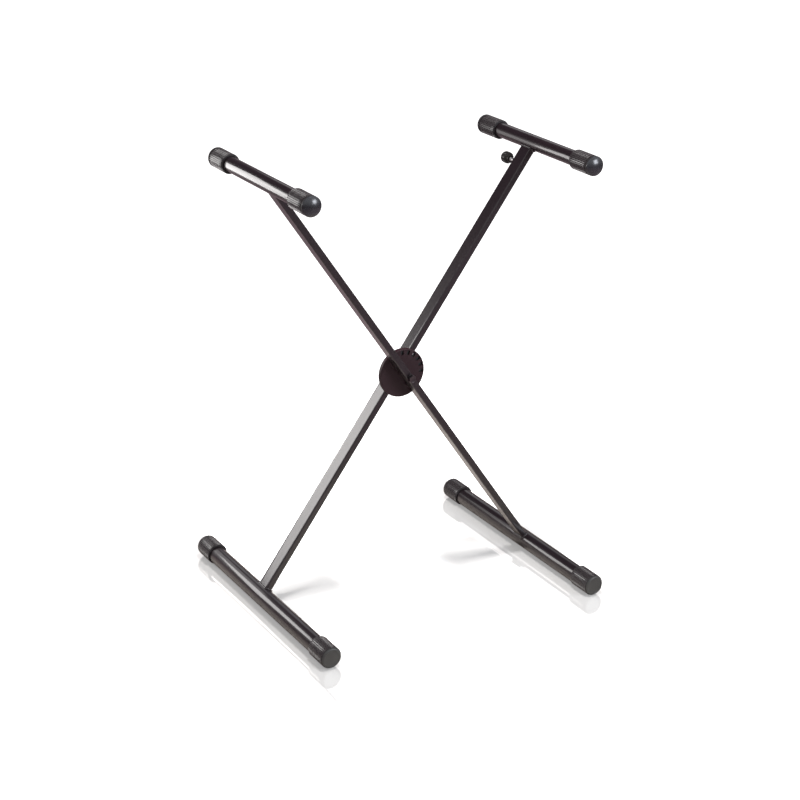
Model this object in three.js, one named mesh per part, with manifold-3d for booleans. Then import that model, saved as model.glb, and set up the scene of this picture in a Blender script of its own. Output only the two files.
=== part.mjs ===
// Folding keyboard stand with one pair of crossed legs, in millimetres, +Z up.
//
// X runs from the left foot to the right foot, Y runs along the arms and feet, away from the
// viewer, and the stand rests on Z = 0. The origin is on the floor under the pivot.
// The front leg carries the left arm and the right foot, the rear leg the right arm and the
// left foot. A dished lock disc is welded to the front leg. A pin in the rear leg enters its
// windows. The trigger at the top of the rear leg lifts a rod, whose cam block draws the pin.
// The model stands at the third height with the trigger drawn, so the pin is just clear.

import * as THREE from 'three';
import { mergeVertices } from 'three/addons/utils/BufferGeometryUtils.js';
import Module from 'manifold-3d';

const wasm = await Module();
wasm.setup();

// ---------------------------------------------------------------- driving dimensions

const CLEARANCE = 0.3;          // between pieces that rest on, pass through or clamp each other
const SEAT_FIT = 0.1;           // round a rod or stud that is pressed into its seat

const LEG_UP = 470;             // pivot axis to arm axis, along the leg
const LEG_DOWN = 470;           // pivot axis to foot axis, along the leg
const LEG_ANGLE = 54.6;         // of each leg from the floor, in degrees, at rest
const LEG_DEPTH = 28;           // along Y
const LEG_WIDTH = 12.4;         // in the plane of the fold
const LEG_WALL = 1.2;
const LEG_CORNER = 2;           // outer corner radius
const LEG_GAP = 10;             // between the two legs, along Y

const ARM_DIA = 27;
const ARM_WALL = 1.5;
const ARM_SPAN = 352;           // over both caps
const FOOT_DIA = 33;
const FOOT_WALL = 1.5;
const FOOT_SPAN = 490;          // over both caps

const RIB_HEIGHT = 0.9;
const ARM_CAP_DIA = 35;
const ARM_CAP_RIBS = 36;
const ARM_CAP_RIBBED = 46;      // length of the ribbed stretch
const ARM_CAP_DOME = 13;        // height of the domed end
const ARM_CAP_FULLNESS = 3.6;   // exponent of the dome's curve: 2 is an ellipse, more is fuller
const ARM_CAP_GROOVE = 0.8;     // width of the groove between the ribs and the dome
const ARM_CAP_GRIP = 42;        // length of tube inside the cap
const FOOT_CAP_DIA = 39.2;
const FOOT_CAP_RIBS = 40;
const FOOT_CAP_RIBBED = 46;
const FOOT_CAP_END = 3;         // height of the rounded end
const FOOT_CAP_GRIP = 42;
const FOOT_CAP_OFFSET = 1.4;    // of the outside from the bore: turning the cap levels the foot
const CAP_END_WALL = 3.5;
const CAP_SEGMENTS = 24;        // facets round a cap's bore and end
const CAP_SHOULDER = 2.5;       // inside the cap, that the end of the tube meets
const CAP_END_STEP = 0.5;       // the groove and the flat end lie this much below the rib roots

const DISC_DIA = 90;
const DISC_PLATE = 2.5;
const DISC_FLANGE = 2;          // wall of the turned rim
const DISC_DEPTH = 8;           // over plate and rim
const DISC_EDGE = 2.5;          // outer radius of the turned edge
const WINDOW_CIRCLE = 38.3;     // radius of the circle through the windows
const WINDOW_LENGTH = 8.4;      // along the disc's radius
const WINDOW_WIDTH = 6.2;
const WINDOW_CORNER = 1.6;
const HEIGHT_STEP = 19;         // degrees of fold from one height to the next
const HEIGHTS_DOWN = 3;         // lower heights than the one at rest
const HEIGHTS_UP = 2;           // higher heights than the one at rest
const FOLD_CLOSED = 65;         // degrees of fold from rest to the stand folded flat

const BOLT_DIA = 7.8;
const BOLT_HEAD_FLATS = 13;
const BOLT_HEAD_HEIGHT = 5.3;
const HEX_CHAMFER = 0.6;        // slope of the turned-off corners of head and nut
const BOLT_CHAMFER = 1;
const BOLT_TAIL = 2.5;          // thread that shows past the nut
const NUT_HEIGHT = 8;
const WASHER_DIA = 15;
const WASHER_THICKNESS = 1.6;

const PIN_DIA = 5;              // locking pin
const PIN_LIFT = 3;             // travel of the pin, along Y
const PIN_TAIL = 4;             // pin behind its cross pin
const PIN_CHAMFER = 0.5;
const CROSS_PIN_DIA = 2.4;
const CROSS_PIN_DEPTH = 15;     // behind the rear leg's front face, with the pin drawn
const TRIGGER_TRAVEL = 9;       // along the leg
const TRIGGER_BELOW_ARM = 42.5; // stud axis to arm axis
const CAM_HEAD = 15;            // cam block above the drawn pin's axis, past the slot
const CAM_FOOT = 12;            // cam block below the drawn pin's axis
const ROD_DIA = 5;
const ROD_SEAT = 5;             // length of rod end held in each block
const STUD_DIA = 6;
const STUD_SEAT = 8.5;          // length of stud held in its block
const KNOB_DIA = 21;
const KNOB_LENGTH = 20;
const KNOB_STANDOFF = 14;       // between the leg's rear face and the knob
const KNOB_GRIP = 12;           // length of stud inside the knob
const KNOB_FLUTES = 14;
const KNOB_FLUTE_DEPTH = 0.9;
const TRIGGER_BLOCK_LENGTH = 16;
const SPRING_DIA = 9.2;         // outside, round the rod
const SPRING_WIRE = 1.2;
const SPRING_LENGTH = 30;       // with the trigger drawn
const SPRING_TURNS = 6;
const SPRING_SEAT_LENGTH = 6;

const WELD_RADIUS = 2.2;        // of the beads at the ends of the legs
const WELD_PROUD = 0.35;        // share of a bead's radius by which its middle stands clear
const TACK_RADIUS = 2.4;        // of the short beads between leg and disc
const TACK_PROUD = 0.2;         // share of a tack's radius by which its middle stands clear
const TACK_LENGTH = 9;
const TACK_SPREAD = 25;         // along the leg from the pivot axis

// ---------------------------------------------------------------- derived places

const legAngle = THREE.MathUtils.degToRad(LEG_ANGLE);
const armReach = new THREE.Vector2(LEG_UP * Math.cos(legAngle), LEG_UP * Math.sin(legAngle));
const footReach = new THREE.Vector2(LEG_DOWN * Math.cos(legAngle), LEG_DOWN * Math.sin(legAngle));

// A cap stands on the flat top of one rib, which spans RIB_TOP_SHARE of the ribs' pitch.
const RIB_TOP_SHARE = 0.5;
const ribFlatRadius = (dia, ribs) => dia / 2 * Math.cos(Math.PI / ribs * RIB_TOP_SHARE);
const footAxisZ = ribFlatRadius(FOOT_CAP_DIA, FOOT_CAP_RIBS) - FOOT_CAP_OFFSET;
const pivotZ = footAxisZ + footReach.y;
const armAxisZ = pivotZ + armReach.y;

const legFaceY = LEG_GAP / 2;                       // inner face of each leg
const legBackY = legFaceY + LEG_DEPTH;              // outer face of each leg
const legMidY = legFaceY + LEG_DEPTH / 2;
const discFrontY = -legFaceY + CLEARANCE;
const discBackY = discFrontY + DISC_PLATE;
const cavityWidth = LEG_WIDTH - 2 * LEG_WALL;
const cavityDepth = LEG_DEPTH - 2 * LEG_WALL;
const boreCorner = Math.max(LEG_CORNER - LEG_WALL, CLEARANCE);
const boltRadius = BOLT_DIA / 2;
const boltHole = boltRadius + CLEARANCE;

const pinTipY = discBackY + 2 * CLEARANCE;          // drawn
const crossPinY = legFaceY + CROSS_PIN_DEPTH;
const triggerX = LEG_UP - TRIGGER_BELOW_ARM;
const camTopX = WINDOW_CIRCLE + TRIGGER_TRAVEL + CAM_HEAD;
const camFootX = WINDOW_CIRCLE - CAM_FOOT;
const springSeatX = camTopX + SPRING_LENGTH + 2 * CLEARANCE;
const windowAngles = [];
for (let step = -HEIGHTS_DOWN; step <= HEIGHTS_UP; step += 1) {
  windowAngles.push(LEG_ANGLE + step * HEIGHT_STEP);
}
windowAngles.push(LEG_ANGLE + FOLD_CLOSED);

// ---------------------------------------------------------------- materials

const finish = (color, roughness, metalness) => ({ color, roughness, metalness });
const POWDER_COAT = finish(0x2b2725, 0.34, 0.55);
const DISC_COAT = finish(0x1d1918, 0.5, 0.3);
const CAP_RUBBER = finish(0x3d3836, 0.62, 0.0);
const KNOB_PLASTIC = finish(0x151414, 0.45, 0.0);
const ZINC_STEEL = finish(0xb9bcc0, 0.28, 1.0);
const BLACK_STEEL = finish(0x26231f, 0.4, 0.8);
const NYLON = finish(0x1c1c1d, 0.5, 0.0);

// ---------------------------------------------------------------- solids

function solidOf(geometry) {
  const bare = geometry.clone();
  bare.deleteAttribute('normal');
  bare.deleteAttribute('uv');
  const merged = mergeVertices(bare, 1e-4);
  return new wasm.Manifold(new wasm.Mesh({
    numProp: 3,
    vertProperties: new Float32Array(merged.attributes.position.array),
    triVerts: new Uint32Array(merged.index.array),
  }));
}

function geometryOf(solid) {
  const mesh = solid.getMesh();
  const geometry = new THREE.BufferGeometry();
  geometry.setAttribute('position', new THREE.BufferAttribute(mesh.vertProperties, 3));
  geometry.setIndex(new THREE.BufferAttribute(mesh.triVerts, 1));
  const faceted = geometry.toNonIndexed();
  faceted.computeVertexNormals();
  return faceted;
}

function carve(body, ...cutters) {
  return cutters.reduce((left, cutter) => left.subtract(cutter), body);
}

// Revolves a closed profile of [radius, y] pairs about Y. Its outer wall runs towards +Y.
function revolve(profile, segments) {
  const points = profile.map(([radius, y]) => new THREE.Vector2(Math.max(radius, 0), y));
  return new THREE.LatheGeometry(points, segments);
}

function rodAlongY(radius, y0, y1, segments = 24) {
  return revolve([[0, y0], [radius, y0], [radius, y1], [0, y1]], segments);
}

function tubeAlongY(outer, inner, y0, y1, segments = 32) {
  return revolve([[inner, y0], [outer, y0], [outer, y1], [inner, y1], [inner, y0]], segments);
}

function blockAt(x0, x1, y0, y1, z0, z1) {
  const block = new THREE.BoxGeometry(x1 - x0, y1 - y0, z1 - z0);
  return block.translate((x0 + x1) / 2, (y0 + y1) / 2, (z0 + z1) / 2);
}

function roundedRectangle(width, height, corner) {
  const x = width / 2;
  const y = height / 2;
  const outline = new THREE.Shape();
  outline.absarc(x - corner, y - corner, corner, 0, Math.PI / 2);
  outline.absarc(corner - x, y - corner, corner, Math.PI / 2, Math.PI);
  outline.absarc(corner - x, corner - y, corner, Math.PI, Math.PI * 1.5);
  outline.absarc(x - corner, corner - y, corner, Math.PI * 1.5, Math.PI * 2);
  outline.closePath();
  return outline;
}

// Extrudes an outline of (Z, Y) along X, from x0 to x1, with its middle on y.
function beamAlongX(outline, x0, x1, y) {
  const beam = new THREE.ExtrudeGeometry(outline, {
    depth: x1 - x0,
    bevelEnabled: false,
    curveSegments: 2,
  });
  return beam.rotateY(Math.PI / 2).translate(x0, y, 0);
}

// A cutter with round ends, from x0 to x1 between the arc centres, through a wall square to Y.
function slotCutter(x0, x1, width, y0, y1) {
  const outline = new THREE.Shape();
  outline.absarc(x1, 0, width / 2, -Math.PI / 2, Math.PI / 2);
  outline.absarc(x0, 0, width / 2, Math.PI / 2, Math.PI * 1.5);
  outline.closePath();
  const slot = new THREE.ExtrudeGeometry(outline, {
    depth: y1 - y0,
    bevelEnabled: false,
    curveSegments: 3,
  });
  return slot.rotateX(Math.PI / 2).translate(0, y1, 0);
}

function hexPrism(flats, y0, y1) {
  const hexagon = new THREE.CylinderGeometry(1, 1, y1 - y0, 6);
  const radius = flats / Math.sqrt(3);
  return hexagon.scale(radius, 1, radius).translate(0, (y0 + y1) / 2, 0);
}

// A closed ring of round section along a loop of points.
function loopBead(points, radius, sides) {
  const count = points.length;
  const positions = [];
  const index = [];
  const middle = points.reduce((sum, p) => sum.add(p), new THREE.Vector3()).divideScalar(count);
  points.forEach((point, i) => {
    const ahead = points[(i + 1) % count].clone().sub(points[(i + count - 1) % count]).normalize();
    const out = point.clone().sub(middle);
    out.addScaledVector(ahead, -out.dot(ahead)).normalize();
    const up = new THREE.Vector3().crossVectors(ahead, out);
    for (let side = 0; side < sides; side += 1) {
      const turn = side / sides * Math.PI * 2;
      const vertex = point.clone();
      vertex.addScaledVector(out, radius * Math.cos(turn));
      vertex.addScaledVector(up, radius * Math.sin(turn));
      positions.push(vertex.x, vertex.y, vertex.z);
      const a = i * sides + side;
      const b = i * sides + (side + 1) % sides;
      const c = (i + 1) % count * sides + side;
      const d = (i + 1) % count * sides + (side + 1) % sides;
      index.push(a, b, c, b, d, c);
    }
  });
  const ring = new THREE.BufferGeometry();
  ring.setAttribute('position', new THREE.Float32BufferAttribute(positions, 3));
  ring.setIndex(index);
  const solid = solidOf(ring);
  if (solid.volume() > 0) return solid;
  ring.setIndex(index.slice().reverse());
  return solidOf(ring);
}

// ---------------------------------------------------------------- scene graph

const stand = new THREE.Group();
stand.name = 'folding_keyboard_stand';

function addPiece(group, name, shape, look) {
  const geometry = shape.isBufferGeometry ? shape : geometryOf(shape);
  const piece = new THREE.Mesh(geometry, new THREE.MeshStandardMaterial(look));
  piece.name = name;
  group.add(piece);
  return piece;
}

// A leg's own frame: +X along the leg from the pivot to the arm, Y as the stand's.
function legFrame(direction) {
  const frame = new THREE.Group();
  frame.position.set(0, 0, pivotZ);
  frame.rotation.y = direction > 0 ? -legAngle : legAngle - Math.PI;
  stand.add(frame);
  return frame;
}

const frontFrame = legFrame(-1);
const rearFrame = legFrame(1);

// ---------------------------------------------------------------- legs

function roundCutAlongY(radius, x, segments = 32) {
  const reach = legBackY + 2 * WELD_RADIUS;
  return solidOf(rodAlongY(radius, -reach, reach, segments).translate(x, 0, 0));
}

// Rectangular tube, coped at both ends to sit against the arm tube and the foot tube.
function legTube(middleY, ...cutters) {
  const outline = roundedRectangle(LEG_WIDTH, LEG_DEPTH, LEG_CORNER);
  const bore = roundedRectangle(cavityWidth, cavityDepth, boreCorner);
  outline.holes.push(new THREE.Path(bore.getPoints(1)));
  const tube = solidOf(beamAlongX(outline, -LEG_DOWN, LEG_UP, middleY));
  return carve(
    tube,
    roundCutAlongY(ARM_DIA / 2 + CLEARANCE, LEG_UP),
    roundCutAlongY(FOOT_DIA / 2 + CLEARANCE, -LEG_DOWN),
    roundCutAlongY(boltHole, 0, 20),
    ...cutters,
  );
}

// Weld bead round the end of a leg, in the corner between the leg and a tube of radius r at x.
function legWeld(middleY, x, tubeRadius) {
  const side = Math.sign(x);
  const spread = WELD_RADIUS * WELD_PROUD;
  const path = roundedRectangle(LEG_WIDTH + 2 * spread, LEG_DEPTH + 2 * spread, LEG_CORNER + spread);
  const loop = path.getPoints(1).slice(0, -1).map((corner) => {
    const depth = Math.sqrt((tubeRadius + spread) ** 2 - corner.x ** 2);
    return new THREE.Vector3(x - side * depth, corner.y + middleY, corner.x);
  });
  const distinct = loop.filter((p, i) => p.distanceTo(loop[(i + 1) % loop.length]) > 0.01);
  const legSpace = roundedRectangle(
    LEG_WIDTH + 2 * CLEARANCE,
    LEG_DEPTH + 2 * CLEARANCE,
    LEG_CORNER + CLEARANCE,
  );
  const reach = side * (Math.abs(x) - 2 * tubeRadius);
  const [x0, x1] = [Math.min(reach, x), Math.max(reach, x)];
  return carve(
    loopBead(distinct, WELD_RADIUS, 6),
    solidOf(beamAlongX(legSpace, x0, x1, middleY)),
    roundCutAlongY(tubeRadius + CLEARANCE, x),
  );
}

// Spacer round the bolt that keeps the leg's walls apart when the nut is tight.
function spacerSleeve(middleY) {
  const half = cavityDepth / 2 - boreCorner;
  const outer = cavityWidth / 2 - CLEARANCE / 2;
  return tubeAlongY(outer, boltHole, middleY - half, middleY + half, 20);
}

const triggerSlot = slotCutter(
  triggerX - TRIGGER_TRAVEL,
  triggerX,
  STUD_DIA + 2 * CLEARANCE,
  legBackY - 2 * LEG_WALL,
  legBackY + 1,
);
const pinHole = rodAlongY(PIN_DIA / 2 + CLEARANCE, legFaceY - 1, legFaceY + 2 * LEG_WALL, 20);
pinHole.translate(WINDOW_CIRCLE, 0, 0);

addPiece(frontFrame, 'front_leg_tube', legTube(-legMidY), POWDER_COAT);
addPiece(
  rearFrame,
  'rear_leg_tube',
  legTube(legMidY, solidOf(triggerSlot), solidOf(pinHole)),
  POWDER_COAT,
);
addPiece(frontFrame, 'front_leg_spacer', spacerSleeve(-legMidY), ZINC_STEEL);
addPiece(rearFrame, 'rear_leg_spacer', spacerSleeve(legMidY), ZINC_STEEL);
for (const [frame, leg, middleY] of [[frontFrame, 'front', -legMidY], [rearFrame, 'rear', legMidY]]) {
  addPiece(frame, `${leg}_arm_weld`, legWeld(middleY, LEG_UP, ARM_DIA / 2), POWDER_COAT);
  addPiece(frame, `${leg}_foot_weld`, legWeld(middleY, -LEG_DOWN, FOOT_DIA / 2), POWDER_COAT);
}

// ---------------------------------------------------------------- arms, feet and their caps

// Outline of a ribbed cap: flat rib tops on the outer circle, with V grooves between them.
function ribbedOutline(dia, ribs) {
  const pitch = Math.PI * 2 / ribs;
  const corners = [
    [-RIB_TOP_SHARE / 2, dia / 2],
    [RIB_TOP_SHARE / 2, dia / 2],
    [0.5, dia / 2 - RIB_HEIGHT],
  ];
  const points = [];
  for (let rib = 0; rib < ribs; rib += 1) {
    for (const [share, radius] of corners) {
      const turn = Math.PI / 2 + pitch * (rib + share);
      points.push(new THREE.Vector2(radius * Math.cos(turn), radius * Math.sin(turn)));
    }
  }
  return new THREE.Shape(points);
}

// Cap with its mouth at Y = 0 and its closed end towards -Y. The bore is on the tube's axis.
function ribbedCap({ dia, ribs, ribbed, endProfile, tubeDia, grip, offset, hollow }) {
  const skin = new THREE.ExtrudeGeometry(ribbedOutline(dia, ribs), {
    depth: ribbed,
    bevelEnabled: false,
  });
  skin.rotateX(Math.PI / 2).translate(0, 0, offset);
  const end = revolve(endProfile, CAP_SEGMENTS).translate(0, 0, offset);
  const boreRadius = tubeDia / 2 + CLEARANCE;
  const bore = revolve([
    [0, -hollow],
    [boreRadius - CAP_SHOULDER, -grip - CLEARANCE],
    [boreRadius, -grip - CLEARANCE],
    [boreRadius, 1],
    [0, 1],
  ], CAP_SEGMENTS);
  return carve(solidOf(skin).add(solidOf(end)), solidOf(bore));
}

// Neck in a groove behind the ribs, then a dome of the given radius.
function domedEnd(neck, radius, start, height) {
  const steps = 4;
  const base = start + ARM_CAP_GROOVE;
  const profile = [[0, 1 - start], [neck, 1 - start], [neck, -base]];
  for (let step = 0; step <= steps; step += 1) {
    const turn = step / steps * Math.PI / 2;
    profile.push([
      radius * Math.cos(turn) ** (2 / ARM_CAP_FULLNESS),
      -base - (height - ARM_CAP_GROOVE) * Math.sin(turn) ** (2 / ARM_CAP_FULLNESS),
    ]);
  }
  profile[profile.length - 1][0] = 0;
  return profile.reverse();
}

function roundedFlatEnd(radius, start, height) {
  const steps = 3;
  const profile = [[0, 1 - start], [radius, 1 - start]];
  for (let step = 0; step <= steps; step += 1) {
    const turn = step / steps * Math.PI / 2;
    profile.push([radius - height * (1 - Math.cos(turn)), -start - height * Math.sin(turn)]);
  }
  profile.push([0, -start - height]);
  return profile.reverse();
}

const capNeck = (dia) => dia / 2 - RIB_HEIGHT - CAP_END_STEP;
const armCap = ribbedCap({
  dia: ARM_CAP_DIA,
  ribs: ARM_CAP_RIBS,
  ribbed: ARM_CAP_RIBBED,
  endProfile: domedEnd(capNeck(ARM_CAP_DIA), ARM_CAP_DIA / 2, ARM_CAP_RIBBED, ARM_CAP_DOME),
  tubeDia: ARM_DIA,
  grip: ARM_CAP_GRIP,
  offset: 0,
  hollow: ARM_CAP_RIBBED + ARM_CAP_DOME - CAP_END_WALL,
});
const footCap = ribbedCap({
  dia: FOOT_CAP_DIA,
  ribs: FOOT_CAP_RIBS,
  ribbed: FOOT_CAP_RIBBED,
  endProfile: roundedFlatEnd(capNeck(FOOT_CAP_DIA), FOOT_CAP_RIBBED, FOOT_CAP_END),
  tubeDia: FOOT_DIA,
  grip: FOOT_CAP_GRIP,
  offset: FOOT_CAP_OFFSET,
  hollow: FOOT_CAP_RIBBED + FOOT_CAP_END - CAP_END_WALL,
});
const armMouthY = ARM_SPAN / 2 - ARM_CAP_RIBBED - ARM_CAP_DOME;
const footMouthY = FOOT_SPAN / 2 - FOOT_CAP_RIBBED - FOOT_CAP_END;

// A round tube along Y with a cap on each end, at (x, z).
function cappedTube(name, x, z, { dia, wall, mouthY, grip, cap }) {
  const rail = new THREE.Group();
  rail.position.set(x, 0, z);
  stand.add(rail);
  const half = mouthY + grip;
  addPiece(rail, `${name}_tube`, tubeAlongY(dia / 2, dia / 2 - wall, -half, half), POWDER_COAT);
  const near = addPiece(rail, `${name}_cap_near`, cap, CAP_RUBBER);
  near.position.y = -mouthY;
  const far = addPiece(rail, `${name}_cap_far`, cap, CAP_RUBBER);
  far.position.y = mouthY;
  far.rotation.z = Math.PI;
}

const ARM = { dia: ARM_DIA, wall: ARM_WALL, mouthY: armMouthY, grip: ARM_CAP_GRIP, cap: armCap };
const FOOT = { dia: FOOT_DIA, wall: FOOT_WALL, mouthY: footMouthY, grip: FOOT_CAP_GRIP, cap: footCap };
cappedTube('left_arm', -armReach.x, armAxisZ, ARM);
cappedTube('right_arm', armReach.x, armAxisZ, ARM);
cappedTube('left_foot', -footReach.x, footAxisZ, FOOT);
cappedTube('right_foot', footReach.x, footAxisZ, FOOT);

// ---------------------------------------------------------------- lock disc and pivot

// Dished disc: a flat plate with a turned rim, and a window for the pin at each height.
function lockDisc() {
  const radius = DISC_DIA / 2;
  const rimBackY = discFrontY + DISC_DEPTH;
  const edgeSteps = 2;
  const profile = [[0, discFrontY]];
  for (let step = 0; step <= edgeSteps; step += 1) {
    const turn = step / edgeSteps * Math.PI / 2;
    profile.push([
      radius - DISC_EDGE * (1 - Math.sin(turn)),
      discFrontY + DISC_EDGE * (1 - Math.cos(turn)),
    ]);
  }
  profile.push([radius, rimBackY]);
  profile.push([radius - DISC_FLANGE, rimBackY]);
  profile.push([radius - DISC_FLANGE, discBackY]);
  profile.push([0, discBackY]);
  const window = new THREE.ExtrudeGeometry(
    roundedRectangle(WINDOW_LENGTH, WINDOW_WIDTH, WINDOW_CORNER),
    { depth: DISC_PLATE + 2, bevelEnabled: false, curveSegments: 2 },
  );
  window.rotateX(Math.PI / 2).translate(WINDOW_CIRCLE, discBackY + 1, 0);
  const windows = windowAngles.map((angle) => (
    solidOf(window.clone().rotateY(-THREE.MathUtils.degToRad(angle)))
  ));
  const boltBore = solidOf(rodAlongY(boltHole, discFrontY - 1, discBackY + 1, 20));
  return carve(solidOf(revolve(profile, 56)), boltBore, ...windows);
}

// Short weld bead in the corner between the front leg's side and the disc's plate.
function discTack(along, side) {
  const bead = new THREE.SphereGeometry(1, 12, 8);
  const proud = TACK_RADIUS * TACK_PROUD;
  const edge = side * (LEG_WIDTH / 2 + proud);
  bead.scale(TACK_LENGTH / 2, TACK_RADIUS, TACK_RADIUS);
  bead.translate(along, -legFaceY - proud, edge);
  const legSpace = roundedRectangle(
    LEG_WIDTH + 2 * CLEARANCE,
    LEG_DEPTH + 2 * CLEARANCE,
    LEG_CORNER + CLEARANCE,
  );
  return carve(
    solidOf(bead),
    solidOf(beamAlongX(legSpace, along - TACK_LENGTH, along + TACK_LENGTH, -legMidY)),
    solidOf(blockAt(
      along - TACK_LENGTH,
      along + TACK_LENGTH,
      discFrontY - CLEARANCE,
      discFrontY + 2 * TACK_RADIUS,
      edge - 2 * TACK_RADIUS,
      edge + 2 * TACK_RADIUS,
    )),
  );
}

const hub = new THREE.Group();
hub.position.set(0, 0, pivotZ);
stand.add(hub);
addPiece(hub, 'lock_disc', lockDisc(), DISC_COAT);
[[-1, -1], [-1, 1], [1, -1], [1, 1]].forEach(([end, side], i) => {
  addPiece(frontFrame, `disc_tack_${i + 1}`, discTack(end * TACK_SPREAD, side), DISC_COAT);
});

// Hexagon from y0 to y1 with its corners turned off at y0 if chamferFirst, else at y1.
function chamferedHex(y0, y1, chamferFirst) {
  const flat = BOLT_HEAD_FLATS / 2;
  const outer = BOLT_HEAD_FLATS / Math.sqrt(3) + 1;
  const rise = (outer - flat) * HEX_CHAMFER;
  const profile = chamferFirst
    ? [[0, y0], [flat, y0], [outer, y0 + rise], [outer, y1 + 1], [0, y1 + 1]]
    : [[0, y0 - 1], [outer, y0 - 1], [outer, y1 - rise], [flat, y1], [0, y1]];
  return solidOf(hexPrism(BOLT_HEAD_FLATS, y0, y1)).intersect(solidOf(revolve(profile, 24)));
}

const frontWasherY = -legBackY - CLEARANCE - WASHER_THICKNESS;
const headSeatY = frontWasherY - CLEARANCE;
const rearWasherY = legBackY + CLEARANCE;
const nutSeatY = rearWasherY + WASHER_THICKNESS + CLEARANCE;
const boltEndY = nutSeatY + NUT_HEIGHT + BOLT_TAIL;
const boltHead = chamferedHex(headSeatY - BOLT_HEAD_HEIGHT, headSeatY, true);
const boltShank = solidOf(revolve([
  [0, headSeatY - 1],
  [boltRadius, headSeatY - 1],
  [boltRadius, boltEndY - BOLT_CHAMFER],
  [boltRadius - BOLT_CHAMFER, boltEndY],
  [0, boltEndY],
], 20));
addPiece(hub, 'pivot_bolt', boltHead.add(boltShank), BLACK_STEEL);
const washerAt = (y) => tubeAlongY(WASHER_DIA / 2, boltHole, y, y + WASHER_THICKNESS, 24);
addPiece(hub, 'front_washer', washerAt(frontWasherY), BLACK_STEEL);
addPiece(hub, 'rear_washer', washerAt(rearWasherY), BLACK_STEEL);
const nutBore = solidOf(rodAlongY(boltHole, nutSeatY - 1, boltEndY + 1, 20));
const nutBody = chamferedHex(nutSeatY, nutSeatY + NUT_HEIGHT, false);
addPiece(hub, 'lock_nut', carve(nutBody, nutBore), BLACK_STEEL);

// Fills the disc behind its plate, turns with the rear leg and guides the pin through one hole.
function guideDisc() {
  const front = discBackY + CLEARANCE;
  const back = legFaceY - CLEARANCE;
  const body = tubeAlongY(DISC_DIA / 2 - DISC_FLANGE - CLEARANCE, boltHole, front, back, 32);
  const pinBore = rodAlongY(PIN_DIA / 2 + CLEARANCE, front - 1, back + 1, 20);
  return carve(solidOf(body), solidOf(pinBore.translate(WINDOW_CIRCLE, 0, 0)));
}

addPiece(rearFrame, 'guide_disc', guideDisc(), NYLON);

// ---------------------------------------------------------------- locking pin and trigger

const innerHalfWidth = cavityWidth / 2 - CLEARANCE;
const innerFrontY = legFaceY + LEG_WALL + CLEARANCE;
const innerBackY = legBackY - LEG_WALL - CLEARANCE;

// The pin is drawn at rest. Its cross pin rides in the cam block's sloping slot.
const pinBody = solidOf(revolve([
  [0, pinTipY],
  [PIN_DIA / 2 - PIN_CHAMFER, pinTipY],
  [PIN_DIA / 2, pinTipY + PIN_CHAMFER],
  [PIN_DIA / 2, crossPinY + PIN_TAIL],
  [0, crossPinY + PIN_TAIL],
], 20).translate(WINDOW_CIRCLE, 0, 0));
const crossRadius = CROSS_PIN_DIA / 2;
const crossBore = new THREE.CylinderGeometry(1, 1, LEG_WIDTH, 16).rotateX(Math.PI / 2);
const crossAt = (radius) => crossBore.clone().scale(radius, radius, 1)
  .translate(WINDOW_CIRCLE, crossPinY, 0);
addPiece(rearFrame, 'locking_pin', carve(pinBody, solidOf(crossAt(crossRadius + SEAT_FIT))), ZINC_STEEL);
const crossLength = 2 * (innerHalfWidth - CLEARANCE);
const crossPin = new THREE.CylinderGeometry(crossRadius, crossRadius, crossLength, 16);
addPiece(
  rearFrame,
  'cross_pin',
  crossPin.rotateX(Math.PI / 2).translate(WINDOW_CIRCLE, crossPinY, 0),
  ZINC_STEEL,
);

// Block with a channel for the pin and a sloping slot for the cross pin.
function camBlock() {
  const body = blockAt(camFootX, camTopX, innerFrontY, innerBackY, -innerHalfWidth, innerHalfWidth);
  const channel = slotCutter(
    WINDOW_CIRCLE,
    WINDOW_CIRCLE + TRIGGER_TRAVEL,
    PIN_DIA + 2 * CLEARANCE,
    innerFrontY - 1,
    innerBackY + 1,
  );
  const slope = Math.atan2(PIN_LIFT, TRIGGER_TRAVEL);
  const run = Math.hypot(TRIGGER_TRAVEL, PIN_LIFT);
  const outline = new THREE.Shape();
  const slotRadius = crossRadius + CLEARANCE;
  outline.absarc(run, 0, slotRadius, -Math.PI / 2, Math.PI / 2);
  outline.absarc(0, 0, slotRadius, Math.PI / 2, Math.PI * 1.5);
  outline.closePath();
  const slopingSlot = new THREE.ExtrudeGeometry(outline, {
    depth: 2 * LEG_WIDTH,
    bevelEnabled: false,
    curveSegments: 4,
  });
  slopingSlot.rotateZ(-slope).translate(WINDOW_CIRCLE, crossPinY, -LEG_WIDTH);
  const rodSeat = solidOf(rodAlongX(ROD_DIA / 2 + SEAT_FIT, camTopX - ROD_SEAT, camTopX + 1));
  return carve(solidOf(body), solidOf(channel), solidOf(slopingSlot), rodSeat);
}

function rodAlongX(radius, x0, x1, segments = 20) {
  return rodAlongY(radius, -x1, -x0, segments).rotateZ(Math.PI / 2).translate(0, legMidY, 0);
}

addPiece(rearFrame, 'cam_block', camBlock(), NYLON);
const rodFootX = camTopX - ROD_SEAT + SEAT_FIT;
const rodSeatEndX = triggerX - TRIGGER_BLOCK_LENGTH / 2 + ROD_SEAT;
const pullRod = rodAlongX(ROD_DIA / 2, rodFootX, rodSeatEndX - SEAT_FIT);
addPiece(rearFrame, 'pull_rod', pullRod, ZINC_STEEL);

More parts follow.
